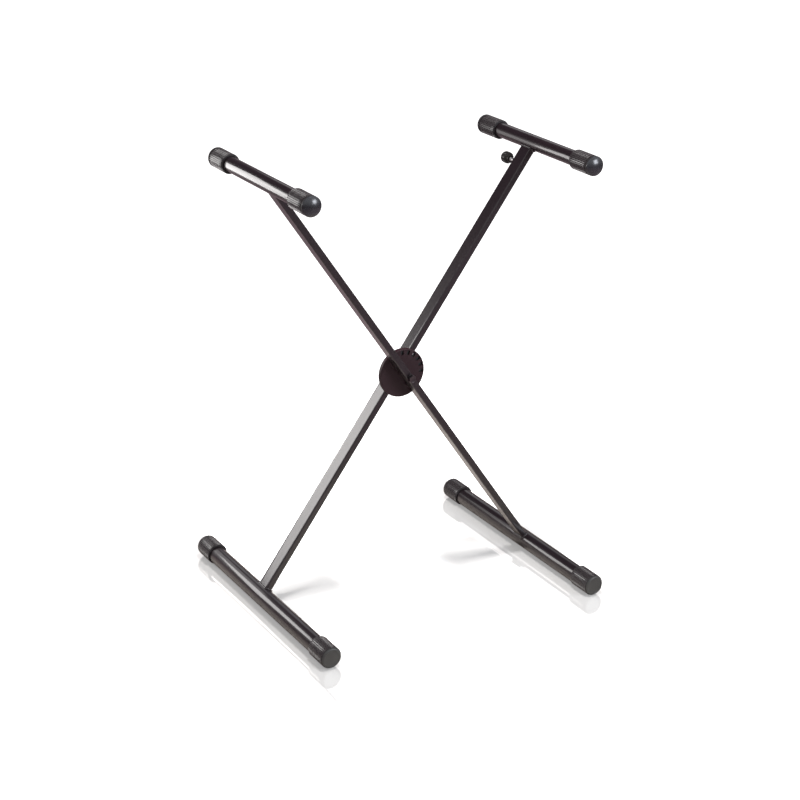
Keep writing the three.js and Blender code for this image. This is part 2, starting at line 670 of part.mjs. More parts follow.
// Block that joins the rod to the stud. The stud passes through the leg's slot to the knob.
const triggerBody = blockAt(
  triggerX - TRIGGER_BLOCK_LENGTH / 2,
  triggerX + TRIGGER_BLOCK_LENGTH / 2,
  innerFrontY,
  innerBackY,
  -innerHalfWidth,
  innerHalfWidth,
);
const studSeatY = innerBackY - STUD_SEAT;
const studBore = rodAlongY(STUD_DIA / 2 + SEAT_FIT, studSeatY, innerBackY + 1, 20);
const rodTopSeat = rodAlongX(ROD_DIA / 2 + SEAT_FIT, triggerX - TRIGGER_BLOCK_LENGTH, rodSeatEndX);
addPiece(
  rearFrame,
  'trigger_block',
  carve(solidOf(triggerBody), solidOf(studBore.translate(triggerX, 0, 0)), solidOf(rodTopSeat)),
  NYLON,
);
const knobY = legBackY + KNOB_STANDOFF;
const studEndY = knobY + KNOB_GRIP;
const stud = rodAlongY(STUD_DIA / 2, studSeatY + SEAT_FIT, studEndY, 20);
addPiece(rearFrame, 'trigger_stud', stud.translate(triggerX, 0, 0), ZINC_STEEL);

// Fluted knob with a short neck and a crowned end, revolved from [radius, y] shares.
const KNOB_PROFILE = [
  [0, 0],
  [0.62, 0],
  [0.66, 0.16],
  [0.95, 0.24],
  [1, 0.34],
  [1, 0.74],
  [0.88, 0.92],
  [0.5, 1],
  [0, 1],
];

function triggerKnob() {
  const radius = KNOB_DIA / 2;
  const body = revolve(
    KNOB_PROFILE.map(([share, along]) => [share * radius, knobY + along * KNOB_LENGTH]),
    2 * KNOB_FLUTES,
  );
  const place = body.attributes.position;
  for (let i = 0; i < place.count; i += 1) {
    const column = Math.floor(i / KNOB_PROFILE.length);
    const out = Math.hypot(place.getX(i), place.getZ(i)) / radius;
    const keep = column % 2 === 1 && out > 0.9 ? 1 - KNOB_FLUTE_DEPTH / radius : 1;
    place.setX(i, place.getX(i) * keep);
    place.setZ(i, place.getZ(i) * keep);
  }
  const bore = rodAlongY(STUD_DIA / 2 + SEAT_FIT, knobY - 1, studEndY + SEAT_FIT, 20);
  return carve(solidOf(body), solidOf(bore));
}

addPiece(
  rearFrame,
  'trigger_knob',
  geometryOf(triggerKnob()).translate(triggerX, 0, 0),
  KNOB_PLASTIC,
);

// Return spring round the rod, between the cam block and a seat fixed in the leg.
class Helix extends THREE.Curve {
  getPoint(t) {
    const turn = t * SPRING_TURNS * Math.PI * 2;
    const radius = (SPRING_DIA - SPRING_WIRE) / 2;
    const rise = SPRING_LENGTH - 2 * SPRING_WIRE;
    return new THREE.Vector3(
      camTopX + CLEARANCE + SPRING_WIRE + rise * t,
      legMidY + radius * Math.cos(turn),
      radius * Math.sin(turn),
    );
  }
}

const wireSection = new THREE.Shape();
wireSection.absarc(0, 0, SPRING_WIRE / 2, 0, Math.PI * 2);
const spring = new THREE.ExtrudeGeometry(wireSection, {
  steps: SPRING_TURNS * 8,
  extrudePath: new Helix(),
  curveSegments: 3,
  bevelEnabled: false,
});
addPiece(rearFrame, 'return_spring', spring, ZINC_STEEL);
const seatBody = blockAt(
  springSeatX,
  springSeatX + SPRING_SEAT_LENGTH,
  innerFrontY,
  innerBackY,
  -innerHalfWidth,
  innerHalfWidth,
);
const seatBore = rodAlongX(
  ROD_DIA / 2 + CLEARANCE,
  springSeatX - 1,
  springSeatX + SPRING_SEAT_LENGTH + 1,
);
addPiece(rearFrame, 'spring_seat', carve(solidOf(seatBody), solidOf(seatBore)), BLACK_STEEL);

export default stand;
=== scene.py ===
"""Looks of a folding keyboard stand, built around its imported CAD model. Lengths in metres."""

import math

import bmesh
import bpy
from mathutils import Matrix, Quaternion, Vector

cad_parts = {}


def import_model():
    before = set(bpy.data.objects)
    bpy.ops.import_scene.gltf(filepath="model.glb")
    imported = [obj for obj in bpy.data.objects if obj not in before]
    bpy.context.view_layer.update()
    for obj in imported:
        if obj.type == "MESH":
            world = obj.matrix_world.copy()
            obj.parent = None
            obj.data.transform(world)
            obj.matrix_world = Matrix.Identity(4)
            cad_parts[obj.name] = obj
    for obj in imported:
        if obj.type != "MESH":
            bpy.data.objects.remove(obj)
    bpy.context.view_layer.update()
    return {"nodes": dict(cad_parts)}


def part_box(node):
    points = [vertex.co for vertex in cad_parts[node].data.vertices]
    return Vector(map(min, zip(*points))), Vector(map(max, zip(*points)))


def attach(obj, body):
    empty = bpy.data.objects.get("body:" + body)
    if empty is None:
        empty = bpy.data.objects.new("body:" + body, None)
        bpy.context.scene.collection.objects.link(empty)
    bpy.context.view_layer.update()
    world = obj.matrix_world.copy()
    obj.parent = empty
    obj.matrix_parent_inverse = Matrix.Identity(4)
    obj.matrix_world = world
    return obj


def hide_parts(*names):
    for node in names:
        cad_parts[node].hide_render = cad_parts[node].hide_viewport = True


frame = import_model()

MM = 0.001
LEG_ANGLE = math.radians(54.6)
LEG = 470 * MM
LEG_DEPTH = 28 * MM
LEG_WIDTH = 12.4 * MM
LEG_WALL = 1.2 * MM
LEG_CORNER = 2 * MM
LEG_FACE = 5 * MM
LEG_BACK = LEG_FACE + LEG_DEPTH
CLEARANCE = 0.3 * MM
COPE_GAP = 0.1 * MM
ARM_RADIUS = 13.5 * MM
FOOT_RADIUS = 16.5 * MM
TUBE_WALL = 1.5 * MM
WINDOW_CIRCLE = 38.3 * MM
HEIGHT_STEP = math.radians(19)
FOLD_CLOSED = math.radians(65)
BOLT_RADIUS = 3.9 * MM
BOLT_BORE = 4.2 * MM
PIN_RADIUS = 2.5 * MM
PIN_BORE = 2.8 * MM
STUD_RADIUS = 3 * MM
TRIGGER_PLACE = LEG - 42.5 * MM
TRIGGER_TRAVEL = 9 * MM
SLOT_RADIUS = 3.3 * MM
HEX_FLATS = 13 * MM
WASHER_RADIUS = 7.5 * MM
WASHER_THICKNESS = 1.6 * MM
SMOOTH_ANGLE = 32


def centre(node):
    low, high = (Vector(c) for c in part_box(node))
    return (low + high) / 2


ARM_X = centre("right_arm_tube").x
ARM_Z = centre("right_arm_tube").z
FOOT_Z = centre("right_foot_tube").z
PIVOT = Vector((0, 0, (ARM_Z + FOOT_Z) / 2))
FRONT, REAR = -1, 1


def leg_axes(side):
    """Directions along a leg, from the pivot to its arm, and across it in the plane of the fold."""
    along = Vector((side * math.cos(LEG_ANGLE), 0, math.sin(LEG_ANGLE)))
    across = Vector((-math.sin(LEG_ANGLE), 0, side * math.cos(LEG_ANGLE)))
    return along, across


def on_leg(side, a, y, w=0.0):
    along, across = leg_axes(side)
    return PIVOT + along * a + across * w + Vector((0, y, 0))


# ------------------------------------------------------------------ materials


def node_of(tree, kind, **values):
    node = tree.nodes.new(kind)
    for key, value in values.items():
        if key in node.inputs:
            node.inputs[key].default_value = value
        else:
            setattr(node, key, value)
    return node


def new_material(name, **shader):
    mat = bpy.data.materials.new(name)
    mat.use_nodes = True
    tree = mat.node_tree
    bsdf = tree.nodes["Principled BSDF"]
    for key, value in shader.items():
        bsdf.inputs[key.replace("_", " ")].default_value = value
    return mat, tree, bsdf


def coords(tree):
    return node_of(tree, "ShaderNodeTexCoord").outputs["Object"]


def noise(tree, place, scale, detail=2.0, roughness=0.5):
    node = node_of(tree, "ShaderNodeTexNoise", Scale=scale, Detail=detail, Roughness=roughness)
    tree.links.new(place, node.inputs["Vector"])
    return node.outputs["Fac"]


def ramp(tree, factor, *stops):
    node = node_of(tree, "ShaderNodeValToRGB")
    elements = node.color_ramp.elements
    elements[0].position, elements[0].color = stops[0][0], (*stops[0][1], 1)
    elements[1].position, elements[1].color = stops[-1][0], (*stops[-1][1], 1)
    for position, color in stops[1:-1]:
        elements.new(position).color = (*color, 1)
    tree.links.new(factor, node.inputs["Fac"])
    return node.outputs["Color"]


def scaled(tree, factor, low, high):
    node = node_of(tree, "ShaderNodeMapRange")
    node.inputs["To Min"].default_value = low
    node.inputs["To Max"].default_value = high
    tree.links.new(factor, node.inputs["Value"])
    return node.outputs["Result"]


def bump(tree, bsdf, height, strength, distance, under=None):
    node = node_of(tree, "ShaderNodeBump", Strength=strength, Distance=distance)
    tree.links.new(height, node.inputs["Height"])
    if under is not None:
        tree.links.new(under, node.inputs["Normal"])
    tree.links.new(node.outputs["Normal"], bsdf.inputs["Normal"])
    return node.outputs["Normal"]


def powder_coat(name, dark, light, rough, metallic, coat, coat_rough):
    """Baked metallic powder: slight orange peel, fine flakes and slow colour drift."""
    mat, tree, bsdf = new_material(
        name,
        Metallic=metallic,
        Coat_Weight=coat,
        Coat_Roughness=coat_rough,
    )
    place = coords(tree)
    drift = noise(tree, place, 14, 3)
    flakes = node_of(tree, "ShaderNodeTexVoronoi", Scale=2600.0)
    tree.links.new(place, flakes.inputs["Vector"])
    flake = scaled(tree, flakes.outputs["Distance"], 0.82, 1.18)
    base = ramp(tree, drift, (0.3, dark), (0.7, light))
    tint = node_of(tree, "ShaderNodeVectorMath", operation="SCALE")
    tree.links.new(base, tint.inputs[0])
    tree.links.new(flake, tint.inputs["Scale"])
    tree.links.new(tint.outputs["Vector"], bsdf.inputs["Base Color"])
    grain = noise(tree, place, 700, 2)
    tree.links.new(scaled(tree, grain, rough - 0.05, rough + 0.06), bsdf.inputs["Roughness"])
    peel = bump(tree, bsdf, noise(tree, place, 420, 1.5), 0.16, 0.0004)
    bump(tree, bsdf, flakes.outputs["Distance"], 0.05, 0.0001, peel)
    return mat


def rubber(name, dark, light, rough, grain_strength):
    """Moulded rubber: fine spark-eroded grain and a little bloom."""
    mat, tree, bsdf = new_material(name, Specular_IOR_Level=0.85)
    place = coords(tree)
    bloom = noise(tree, place, 38, 4, 0.6)
    tree.links.new(ramp(tree, bloom, (0.35, dark), (0.7, light)), bsdf.inputs["Base Color"])
    grain = noise(tree, place, 1500, 2)
    tree.links.new(scaled(tree, grain, rough - 0.08, rough + 0.08), bsdf.inputs["Roughness"])
    bump(tree, bsdf, grain, grain_strength, 0.0002)
    return mat


def plated(name, color, rough):
    """Zinc-plated or blackened steel, with a faint fine grain and blotches."""
    mat, tree, bsdf = new_material(name, Metallic=1.0)
    place = coords(tree)
    blotch = noise(tree, place, 90, 4, 0.6)
    dull = tuple(c * 0.72 for c in color)
    tree.links.new(ramp(tree, blotch, (0.3, dull), (0.65, color)), bsdf.inputs["Base Color"])
    tree.links.new(scaled(tree, blotch, rough + 0.12, rough - 0.04), bsdf.inputs["Roughness"])
    bump(tree, bsdf, noise(tree, place, 1800, 1), 0.08, 0.0001)
    return mat


def moulded(name, color, rough):
    mat, tree, bsdf = new_material(name, Specular_IOR_Level=0.5)
    place = coords(tree)
    tone = noise(tree, place, 60, 3)
    light = tuple(min(1, c * 1.35) for c in color)
    tree.links.new(ramp(tree, tone, (0.3, color), (0.7, light)), bsdf.inputs["Base Color"])
    grain = noise(tree, place, 1300, 2)
    tree.links.new(scaled(tree, grain, rough - 0.06, rough + 0.06), bsdf.inputs["Roughness"])
    bump(tree, bsdf, grain, 0.15, 0.0002)
    return mat


MATERIALS = {
    "powder_coat": powder_coat(
        "stand_powder_coat", (0.007, 0.0035, 0.005), (0.011, 0.006, 0.008), 0.38, 0.1, 0.9, 0.09
    ),
    "disc_coat": powder_coat(
        "stand_disc_coat", (0.021, 0.006, 0.009), (0.028, 0.009, 0.013), 0.5, 0.1, 0.0, 0.25
    ),
    "cap_rubber": rubber(
        "stand_cap_rubber", (0.030, 0.025, 0.027), (0.042, 0.036, 0.038), 0.27, 0.2
    ),
    # Painted shade: darker, rougher rubber for the rib grooves, the ring between the ribs and the
    # end, and the mouth
    "cap_painted_shade": rubber(
        "stand_cap_painted_shade", (0.010, 0.008, 0.009), (0.014, 0.011, 0.012), 0.8, 0.2
    ),
    "cap_end": rubber(
        "stand_cap_end", (0.019, 0.020, 0.024), (0.025, 0.027, 0.032), 0.26, 0.06
    ),
    "foot_end": rubber(
        "stand_foot_end", (0.030, 0.031, 0.029), (0.038, 0.039, 0.036), 0.5, 0.2
    ),
    "knob_plastic": moulded("stand_knob_plastic", (0.010, 0.009, 0.009), 0.42),
    "zinc_steel": plated("stand_zinc_steel", (0.86, 0.86, 0.87), 0.36),
    "black_steel": plated("stand_black_steel", (0.13, 0.115, 0.12), 0.26),
    "nylon": moulded("stand_nylon", (0.014, 0.014, 0.015), 0.5),
}

# ------------------------------------------------------------------ mesh helpers


def make(name, points, faces, material, smooth_angle=SMOOTH_ANGLE):
    mesh = bpy.data.meshes.new(name)
    mesh.from_pydata([tuple(p) for p in points], [], faces)
    mesh.validate()
    work = bmesh.new()
    work.from_mesh(mesh)
    bmesh.ops.remove_doubles(work, verts=work.verts, dist=1e-7)
    bmesh.ops.recalc_face_normals(work, faces=work.faces)
    if work.calc_volume(signed=True) < 0:
        bmesh.ops.reverse_faces(work, faces=work.faces)
    work.to_mesh(mesh)
    work.free()
    obj = bpy.data.objects.new(name, mesh)
    bpy.context.collection.objects.link(obj)
    if material:
        mesh.materials.append(MATERIALS[material])
    shade(obj, smooth_angle)
    return obj


def shade(obj, angle=SMOOTH_ANGLE):
    obj.data.polygons.foreach_set("use_smooth", [True] * len(obj.data.polygons))
    obj.data.set_sharp_from_angle(angle=math.radians(angle))


def ring_faces(rings, count, closed=False):
    faces = []
    for i in range(rings if closed else rings - 1):
        for j in range(count):
            a = i * count + j
            b = i * count + (j + 1) % count
            c = (i + 1) % rings * count + (j + 1) % count
            d = (i + 1) % rings * count + j
            faces.append((a, b, c, d))
    return faces


POLE = 1e-9


def lathe(name, profile, material, at, segments=96, shape=None, smooth_angle=SMOOTH_ANGLE):
    """Turns a closed profile of (radius, y) about Y at a place. shape(turn, i) scales the radius."""
    points, faces = [], []
    starts = []
    for i, (radius, y) in enumerate(profile):
        starts.append(len(points))
        if radius < POLE:
            points.append(at + Vector((0, y, 0)))
            continue
        for j in range(segments):
            turn = 2 * math.pi * j / segments
            reach = radius * (shape(turn, i) if shape else 1)
            points.append(at + Vector((reach * math.cos(turn), y, reach * math.sin(turn))))
    for i in range(len(profile)):
        k = (i + 1) % len(profile)
        one, two = profile[i][0] < POLE, profile[k][0] < POLE
        if one and two:
            continue
        for j in range(segments):
            n = (j + 1) % segments
            if one:
                faces.append((starts[i], starts[k] + j, starts[k] + n))
            elif two:
                faces.append((starts[i] + j, starts[k], starts[i] + n))
            else:
                faces.append((starts[i] + j, starts[k] + j, starts[k] + n, starts[i] + n))
    return make(name, points, faces, material, smooth_angle)


def rounded(*corners, steps=4):
    """A profile of (x, y) corners. A third number turns the corner off over that length."""
    out = []
    count = len(corners)
    for i, (x, y, *turned) in enumerate(corners):
        if not turned:
            out.append((x, y))
            continue
        here = Vector((x, y))
        before = Vector(corners[(i - 1) % count][:2]) - here
        after = Vector(corners[(i + 1) % count][:2]) - here
        start = here + before.normalized() * turned[0]
        end = here + after.normalized() * turned[0]
        for step in range(steps + 1):
            t = step / steps
            point = start * (1 - t) ** 2 + here * 2 * t * (1 - t) + end * t**2
            out.append(tuple(point))
    return out


def cut(obj, *cutters):
    """Takes the cutters out of a piece, with the boolean applied to its mesh."""
    for cutter in cutters:
        step = obj.modifiers.new("cut", "BOOLEAN")
        step.operation = "DIFFERENCE"
        step.solver = "EXACT"
        step.object = cutter
    bpy.context.view_layer.update()
    result = bpy.data.meshes.new_from_object(obj.evaluated_get(bpy.context.evaluated_depsgraph_get()))
    obj.modifiers.clear()
    old = obj.data
    obj.data = result
    bpy.data.meshes.remove(old)
    for cutter in cutters:
        bpy.data.objects.remove(cutter)
    shade(obj)
    return obj


def prism(name, outline, y0, y1):
    """A closed prism between two Y planes over an outline of (x, z) points."""
    count = len(outline)
    points = [Vector((x, y0, z)) for x, z in outline] + [Vector((x, y1, z)) for x, z in outline]
    faces = ring_faces(2, count)
    faces.append(tuple(range(count)))
    faces.append(tuple(range(2 * count - 1, count - 1, -1)))
    return make(name, points, faces, None)


def round_outline(x, z, radius, count=32):
    return [
        (
            x + radius * math.cos(2 * math.pi * i / count),
            z + radius * math.sin(2 * math.pi * i / count),
        )
        for i in range(count)
    ]


def place(obj, body, nodes, slot):
    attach(obj, body)
    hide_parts(*nodes)
    return obj


# ------------------------------------------------------------------ legs


def leg_section(width, depth, corner, steps=6, flat=8):
    """Outline of (w, y) points of a rounded rectangle, with even points on its flats."""
    x, y = width / 2, depth / 2
    corners = [(x - corner, y - corner, 0), (corner - x, y - corner, 90)]
    corners += [(corner - x, corner - y, 180), (x - corner, corner - y, 270)]
    out = []
    for i, (cx, cy, start) in enumerate(corners):
        for step in range(steps + 1):
            turn = math.radians(start + 90 * step / steps)
            out.append((cx + corner * math.cos(turn), cy + corner * math.sin(turn)))
        nx, ny, _ = corners[(i + 1) % 4]
        turn = math.radians(start + 90)
        goal = (nx + corner * math.cos(turn), ny + corner * math.sin(turn))
        here = out[-1]
        for step in range(1, flat):
            t = step / flat
            out.append((here[0] + (goal[0] - here[0]) * t, here[1] + (goal[1] - here[1]) * t))
    return out


def slot_outline(side, steps=12):
    """The trigger's slot in the leg's back: two half circles, as far apart as the trigger slides."""
    along, across = leg_axes(side)
    outline = []
    for end, shift in ((1, 0.0), (-1, -TRIGGER_TRAVEL)):
        middle = on_leg(side, TRIGGER_PLACE + shift, 0)
        for step in range(steps + 1):
            turn = math.pi * (step / steps - 0.5)
            out = along * end * math.cos(turn) + across * end * math.sin(turn)
            point = middle + out * SLOT_RADIUS
            outline.append((point.x, point.z))
    return outline


def leg_tube(name, side):
    """Box-section leg with real walls, coped at both ends round the arm and foot tubes."""
    mid = side * (LEG_FACE + LEG_DEPTH / 2)
    outer = leg_section(LEG_WIDTH, LEG_DEPTH, LEG_CORNER)
    inner = leg_section(LEG_WIDTH - 2 * LEG_WALL, LEG_DEPTH - 2 * LEG_WALL, LEG_CORNER - LEG_WALL)
    count = len(outer)
    arm = ARM_RADIUS + COPE_GAP
    foot = FOOT_RADIUS + COPE_GAP
    points = []
    for loop, end in ((outer, 1), (outer, -1), (inner, -1), (inner, 1)):
        reach = arm if end > 0 else foot
        for w, y in loop:
            a = end * (LEG - math.sqrt(reach**2 - w**2))
            points.append(on_leg(side, a, mid + y, w))
    faces = ring_faces(4, count, closed=True)
    leg = make(name, points, faces, "powder_coat")
    bolt_hole = round_outline(PIVOT.x, PIVOT.z, BOLT_BORE)
    hole = prism("bolt_hole", bolt_hole, mid - LEG_DEPTH, mid + LEG_DEPTH)
    if side == FRONT:
        return cut(leg, hole)
    past_wall = 3 * MM
    pin = on_leg(side, WINDOW_CIRCLE, 0)
    pin_hole = prism("pin_hole", round_outline(pin.x, pin.z, PIN_BORE), 0, LEG_FACE + past_wall)
    slot = prism("slot", slot_outline(side), LEG_BACK - past_wall, LEG_BACK + past_wall)
    return cut(leg, hole, pin_hole, slot)


place(leg_tube("front_leg_skin", FRONT), "front_frame", ["front_leg_tube"], "powder_coat")
place(leg_tube("rear_leg_skin", REAR), "rear_frame", ["rear_leg_tube"], "powder_coat")


def bead(name, path, radius, ripple, pitch, material, sides=12):
    """A weld bead of rippled round section along a closed path."""
    count = len(path)
    middle = sum(path, Vector()) / count
    points = []
    run = 0.0
    for i, here in enumerate(path):
        ahead = (path[(i + 1) % count] - path[i - 1]).normalized()
        out = here - middle
        out = (out - ahead * out.dot(ahead)).normalized()
        up = ahead.cross(out)
        run += (here - path[i - 1]).length if i else 0.0
        beat = 1 + ripple * math.cos(2 * math.pi * run / pitch) + 0.3 * ripple * math.sin(1.7 * i)
        for j in range(sides):
            turn = 2 * math.pi * j / sides
            points.append(here + (out * math.cos(turn) + up * math.sin(turn)) * radius * beat)
    return make(name, points, ring_faces(count, sides, closed=True), material, 60)


def leg_weld(name, side, end, tube_radius):
    mid = side * (LEG_FACE + LEG_DEPTH / 2)
    spread = 0.5 * MM
    outline = leg_section(
        LEG_WIDTH + 2 * spread, LEG_DEPTH + 2 * spread, LEG_CORNER + spread, steps=8, flat=18
    )
    path = []
    for w, y in outline:
        a = end * (LEG - math.sqrt((tube_radius + spread) ** 2 - w**2))
        path.append(on_leg(side, a, mid + y, w))
    return bead(name, path, 1.9 * MM, 0.07, 2.3 * MM, "powder_coat")


for leg, body, side in (("front", "front_frame", FRONT), ("rear", "rear_frame", REAR)):
    for end, where, radius in ((1, "arm", ARM_RADIUS), (-1, "foot", FOOT_RADIUS)):
        node = f"{leg}_{where}_weld"
        weld = leg_weld(f"{node}_bead", side, end, radius)
        place(weld, body, [node], "powder_coat")

# ------------------------------------------------------------------ tubes and caps


def round_tube(node, body):
    low, high = (Vector(c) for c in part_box(node))
    radius = (high.z - low.z) / 2
    at = (low + high) / 2
    half = (high.y - low.y) / 2
    edge = 0.4 * MM
    profile = rounded(
        (radius - TUBE_WALL, -half),
        (radius, -half, edge),
        (radius, half, edge),
        (radius - TUBE_WALL, half),
    )
    return place(lathe(f"{node}_skin", profile, "powder_coat", at, 144), body, [node], "powder_coat")


round_tube("left_arm_tube", "front_frame")
round_tube("right_foot_tube", "front_frame")
round_tube("right_arm_tube", "rear_frame")
round_tube("left_foot_tube", "rear_frame")

CAPS = {
    "arm": {
        "outer": 17.5 * MM,
        "bore": ARM_RADIUS + CLEARANCE,
        "ribs": 36,
        "ribbed": 46 * MM,
        "length": 59 * MM,
        "grip": 42 * MM,
        "rise": 0.0,
        "end": "cap_end",
        "end_start": 3.6 * MM,
    },
    "foot": {
        "outer": 19.6 * MM,
        "bore": FOOT_RADIUS + CLEARANCE,
        "ribs": 40,
        "ribbed": 46 * MM,
        "length": 49 * MM,
        "grip": 42 * MM,
        "rise": 1.4 * MM,
        "end": "foot_end",
        "end_start": 0.2 * MM,
    },
}
RIB_HEIGHT = 0.9 * MM
DOME_CROWN = 4.4 * MM
DOME_SHOULDER = 3.6 * MM
FACETS_PER_RIB = 8
# Slots on a cap after its rubber: the end, then the painted shade of grooves, ring and mouth
END_MATERIAL, PAINTED_SHADE_MATERIAL = 1, 2


def cap_profile(kind, spec):
    """Stations from the mouth to the tip: radius, distance, and share of the rib depth there."""
    outer, ribbed, length = spec["outer"], spec["ribbed"], spec["length"]
    root = outer - RIB_HEIGHT
    stations = [(root - 0.2 * MM, 0.0, 0.0), (root + 0.2 * MM, 0.15 * MM, 0.2)]
    stations += [(outer - 0.25 * MM, 0.5 * MM, 0.9), (outer, 1.1 * MM, 1.0)]
    stations += [(outer, ribbed * t, 1.0) for t in (0.25, 0.5, 0.75)]
    if kind == "arm":
        stations += [(outer, ribbed - 1.4 * MM, 1.0), (outer - 0.25 * MM, ribbed - 0.5 * MM, 0.85)]
        stations += [(root, ribbed - 0.1 * MM, 0.1), (root - 0.4 * MM, ribbed + 0.1 * MM, 0.0)]
        start = ribbed + 0.8 * MM
        stations += [(root - 0.5 * MM, ribbed + 0.5 * MM, 0.0), (root - 0.3 * MM, start, 0.0)]
        stations += [(outer - 0.4 * MM, start + 0.3 * MM, 0.0), (outer, start + 1.0 * MM, 0.0)]
        shoulder = length - DOME_CROWN - DOME_SHOULDER
        for step in range(9):
            turn = math.radians(60) * step / 8
            stations.append((
                outer - DOME_SHOULDER * (1 - math.cos(turn)),
                shoulder + DOME_SHOULDER * math.sin(turn),
                0.0,
            ))
        edge, foot = stations[-1][:2]
        for step in range(1, 14):
            t = 1 - step / 14
            stations.append((edge * t, foot + (length - foot) * (1 - t**2) ** 0.9, 0.0))
        stations.append((0.0, length, 0.0))
        return stations
    stations += [(outer, ribbed - 1.5 * MM, 1.0), (outer - 0.35 * MM, ribbed - 0.3 * MM, 0.75)]
    edge = length - ribbed
    for step in range(9):
        turn = math.pi / 2 * step / 8
        radius = root - 0.5 * MM - edge * (1 - math.cos(turn))
        stations.append((radius, ribbed + 0.2 * MM + (edge - 0.2 * MM) * math.sin(turn), 0.0))
    flat = stations[-1][0]
    stations += [(flat - 1.2 * MM, length, 0.0), (flat - 1.6 * MM, length - 0.35 * MM, 0.0)]
    stations += [(flat * 0.5, length - 0.35 * MM, 0.0), (0.0, length - 0.35 * MM, 0.0)]
    return stations


def cap(node, kind, body):
    """Ribbed cap: an outside that is revolved with grooves between the ribs, and a round bore."""
    spec = CAPS[kind]
    near = node.endswith("near")
    low, high = (Vector(c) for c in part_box(node))
    mouth_y, tip_way = (high.y, -1) if near else (low.y, 1)
    x = (low.x + high.x) / 2
    tube_z = ARM_Z if kind == "arm" else FOOT_Z
    count = spec["ribs"] * FACETS_PER_RIB
    stations = cap_profile(kind, spec)
    points = []
    for radius, s, share in stations:
        for j in range(count):
            turn = 2 * math.pi * j / count + math.pi / 2
            phase = (j / FACETS_PER_RIB + 0.5) % 1 - 0.5
            groove = max(0.0, (abs(phase) - 0.26) / 0.24) ** 0.8
            reach = radius - share * RIB_HEIGHT * groove
            points.append(
                Vector((
                    x + reach * math.cos(turn),
                    mouth_y + tip_way * s,
                    tube_z + spec["rise"] + reach * math.sin(turn),
                ))
            )
    faces = ring_faces(len(stations), count)
    inside = [(spec["bore"], 0.0), (spec["bore"], spec["grip"] + CLEARANCE)]
    inside += [(spec["bore"] - 2.5 * MM, spec["grip"] + CLEARANCE), (0.0, spec["length"] - 3.5 * MM)]
    first = len(points)
    for radius, s in inside:
        for j in range(count):
            turn = 2 * math.pi * j / count + math.pi / 2
            points.append(
                Vector((
                    x + radius * math.cos(turn),
                    mouth_y + tip_way * s,
                    tube_z + radius * math.sin(turn) + (spec["rise"] if radius == 0 else 0),
                ))
            )
    faces += [tuple(i + first for i in face) for face in ring_faces(len(inside), count)]
    faces += [(j, (j + 1) % count, first + (j + 1) % count, first + j) for j in range(count)]
    obj = make(f"{node}_skin", points, faces, "cap_rubber", 40)
    obj.data.materials.append(MATERIALS[spec["end"]])
    obj.data.materials.append(MATERIALS["cap_painted_shade"])
    # Faces in the rib grooves, in the ring between the ribs and the end, and at the mouth get the
    # darker rubber: painted shade
    for face in obj.data.polygons:
        s = (face.center.y - mouth_y) * tip_way
        out = math.hypot(face.center.x - x, face.center.z - tube_z - spec["rise"])
        in_groove = out < spec["outer"] - 0.45 * RIB_HEIGHT
        if s > spec["ribbed"] + spec["end_start"]:
            face.material_index = END_MATERIAL
        elif s > spec["ribbed"] + 0.2 * MM or in_groove or s < 0.3 * MM:
            face.material_index = PAINTED_SHADE_MATERIAL
    return place(obj, body, [node], "cap_rubber")


for end in ("near", "far"):
    cap(f"left_arm_cap_{end}", "arm", "front_frame")
    cap(f"right_arm_cap_{end}", "arm", "rear_frame")
    cap(f"left_foot_cap_{end}", "foot", f"left_foot_{end}_cap_body")
    cap(f"right_foot_cap_{end}", "foot", f"right_foot_{end}_cap_body")

# ------------------------------------------------------------------ lock disc

DISC_FRONT = -4.7 * MM
DISC_BACK = -2.2 * MM
DISC_RADIUS = 45 * MM
RIM_WALL = 2 * MM
RIM_DEPTH = 8 * MM


def window_outline(angle):
    """Rounded rectangle, longer along the disc's radius."""
    out = []
    along = Vector((math.cos(angle), math.sin(angle)))
    across = Vector((-along.y, along.x))
    for w, r in leg_section(6.2 * MM, 8.4 * MM, 1.6 * MM, steps=5, flat=2):
        point = Vector((PIVOT.x, PIVOT.z)) + along * (WINDOW_CIRCLE + r) + across * w
        out.append(tuple(point))
    return out


def lock_disc():
    """Dished disc with a turned-back rim, a window for each height and one for the folded stand."""
    inside = DISC_RADIUS - RIM_WALL
    rim_end = DISC_FRONT + RIM_DEPTH
    profile = rounded(
        (0.0, DISC_FRONT),
        (DISC_RADIUS - 1.1 * MM, DISC_FRONT, 0.5 * MM),
        (DISC_RADIUS, DISC_FRONT + 1.1 * MM, 1.0 * MM),
        (DISC_RADIUS, rim_end, 0.4 * MM),
        (inside, rim_end, 0.4 * MM),
        (inside, DISC_BACK, 0.8 * MM),
        (0.0, DISC_BACK),
    )
    disc = lathe("lock_disc_skin", profile, "disc_coat", PIVOT, 192)
    angles = [LEG_ANGLE + HEIGHT_STEP * step for step in range(-3, 3)] + [LEG_ANGLE + FOLD_CLOSED]
    through = (-8 * MM, 1 * MM)
    cutters = [prism("window", window_outline(angle), *through) for angle in angles]
    cutters.append(prism("bore", round_outline(PIVOT.x, PIVOT.z, BOLT_BORE), *through))
    return cut(disc, *cutters)


place(lock_disc(), "front_frame", ["lock_disc"], "disc_coat")


